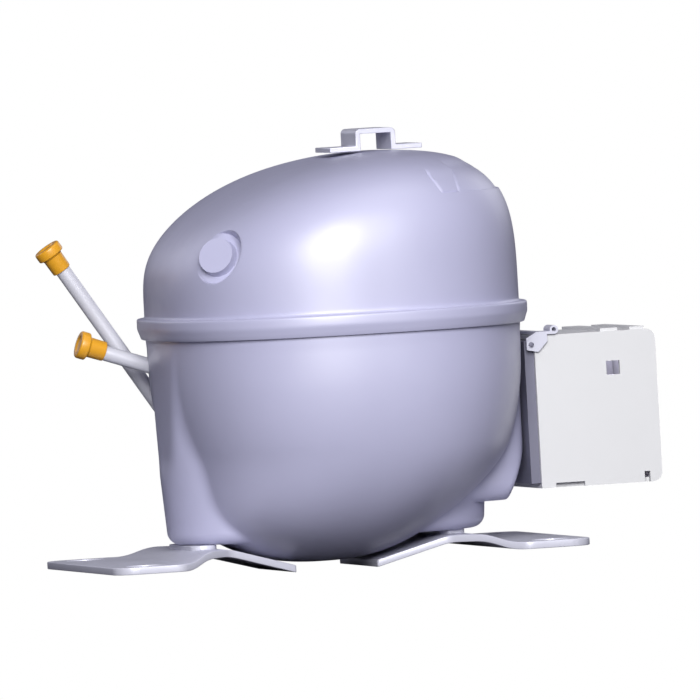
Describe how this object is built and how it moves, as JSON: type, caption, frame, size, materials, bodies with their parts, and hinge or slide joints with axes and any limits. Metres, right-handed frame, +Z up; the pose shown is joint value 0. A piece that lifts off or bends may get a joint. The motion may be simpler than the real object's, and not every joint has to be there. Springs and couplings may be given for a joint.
{
  "type": "hermetic reciprocating compressor",
  "caption": "Welded oval shell on a pair of pressed feet, holding a sprung motor and a small piston pump, with capped tubes and a clipped-on terminal cover.",
  "frame": {"origin": "centre of the four mounting holes, on the underside of the feet", "axes": "+X towards the terminal cover, +Y to the back, away from the shell side without tubes, +Z up along the mounting holes' axes"},
  "size_m": [0.2388, 0.2061, 0.1781],
  "materials": {
    "shell_paint": "smooth semi-gloss grey paint with a faint violet cast",
    "plated_steel": "bright zinc-plated pressed steel",
    "tube_steel": "drawn steel tube, satin",
    "plug_rubber": "moulded golden-orange rubber",
    "machined_steel": "turned and ground steel",
    "terminal_glass": "dark green fused glass bead",
    "relay_plastic": "ivory heat-proof moulding",
    "protector_plastic": "black phenolic moulding",
    "cover_plastic": "white moulded plastic",
    "brass": "plain brass or bronze",
    "spring_steel": "dark oiled steel",
    "lamination": "stacked electrical steel",
    "copper": "varnished copper",
    "cast_iron": "machined grey iron",
    "cage_aluminium": "die-cast aluminium",
    "gasket": "compressed fibre and rubber sheet",
    "wire_insulation": "flexible lead insulation"
  },
  "bodies": {
    "shell": {"lower_shell": "shell_paint", "upper_shell": "shell_paint", "foot_plate_left": "plated_steel", "foot_plate_right": "plated_steel", "top_bracket": "plated_steel", "suction_tube": "tube_steel", "discharge_tube": "tube_steel", "process_tube": "tube_steel", "terminal_cup": "machined_steel", "terminal_glass": "terminal_glass", "terminal_pins": "machined_steel", "terminal_fence": "plated_steel", "start_relay": "relay_plastic", "overload_protector": "protector_plastic", "overload_clip": "plated_steel", "earth_screw": "brass", "spring_pegs": "relay_plastic", "spring_front_left": "spring_steel", "spring_front_right": "spring_steel", "spring_back_left": "spring_steel", "spring_back_right": "spring_steel", "lead_plug": "relay_plastic", "lead_wires": "wire_insulation", "discharge_loop": "copper"},
    "suction_plug": {"plug_suction": "plug_rubber"},
    "discharge_plug": {"plug_discharge": "plug_rubber"},
    "process_plug": {"plug_process": "plug_rubber"},
    "cover": {"terminal_cover": "cover_plastic"},
    "latch": {"cover_latch": "plated_steel"},
    "pump": {"spring_caps": "relay_plastic", "suspension_rail_left": "spring_steel", "suspension_rail_right": "spring_steel", "stator_core": "lamination", "winding_lower": "copper", "winding_upper": "copper", "stator_bolts": "machined_steel", "cylinder_block": "cast_iron", "thrust_washer": "brass", "suction_reed": "machined_steel", "valve_plate": "machined_steel", "discharge_reed": "machined_steel", "reed_stop": "machined_steel", "head_gasket": "gasket", "cylinder_head": "cast_iron", "head_bolts": "machined_steel", "suction_muffler": "relay_plastic", "muffler_lid": "relay_plastic", "discharge_muffler": "spring_steel"},
    "crank": {"crankshaft": "machined_steel", "rotor_core": "lamination", "rotor_cage": "cage_aluminium", "balance_weight": "brass", "oil_pump": "relay_plastic"},
    "nozzle": {"oil_nozzle": "brass"},
    "slider": {"slider_block": "cast_iron"},
    "piston_yoke": {"yoke": "machined_steel", "piston": "cast_iron"}
  },
  "joints": [
    {"name": "suction_plug_pull", "type": "slide", "parent": "shell", "child": "suction_plug", "axis": [-0.5446, 0, 0.8387], "range_m": [0, 0.06]},
    {"name": "discharge_plug_pull", "type": "slide", "parent": "shell", "child": "discharge_plug", "axis": [-0.9455, 0, 0.3256], "range_m": [0, 0.06]},
    {"name": "process_plug_pull", "type": "slide", "parent": "shell", "child": "process_plug", "axis": [0, 0.9781, 0.2079], "range_m": [0, 0.06]},
    {"name": "cover_pull", "type": "slide", "parent": "shell", "child": "cover", "axis": [1, 0, 0], "range_m": [0, 0.06]},
    {"name": "latch_lift", "type": "hinge", "parent": "shell", "child": "latch", "pos_m": [0.086, 0, 0.082], "axis": [0, -1, 0], "range_deg": [0, 35]},
    {"name": "pump_bob", "type": "slide", "parent": "shell", "child": "pump", "axis": [0, 0, 1], "range_m": [-0.002, 0.002], "stiffness_N_per_m": 24000, "springref_m": 0.00137, "deforming": ["spring_front_left", "spring_front_right", "spring_back_left", "spring_back_right", "lead_wires", "discharge_loop"]},
    {"name": "crank_turn", "type": "hinge", "parent": "pump", "child": "crank", "pos_m": [0.0042, 0, 0.09], "axis": [0, 0, 1], "continuous": true},
    {"name": "nozzle_turn", "type": "hinge", "parent": "crank", "child": "nozzle", "pos_m": [0.00795, 0, 0.134], "axis": [0, 0, 1], "continuous": true},
    {"name": "slider_turn", "type": "hinge", "parent": "crank", "child": "slider", "pos_m": [0.0117, 0, 0.126], "axis": [0, 0, 1], "continuous": true},
    {"name": "yoke_turn", "type": "hinge", "parent": "nozzle", "child": "piston_yoke", "pos_m": [0.0117, 0, 0.126], "axis": [0, 0, 1], "continuous": true}
  ],
  "couplings": [
    {"joint": "nozzle_turn", "follows": "crank_turn", "ratio": -2},
    {"joint": "slider_turn", "follows": "crank_turn", "ratio": -1},
    {"joint": "yoke_turn", "follows": "crank_turn", "ratio": 1}
  ]
}
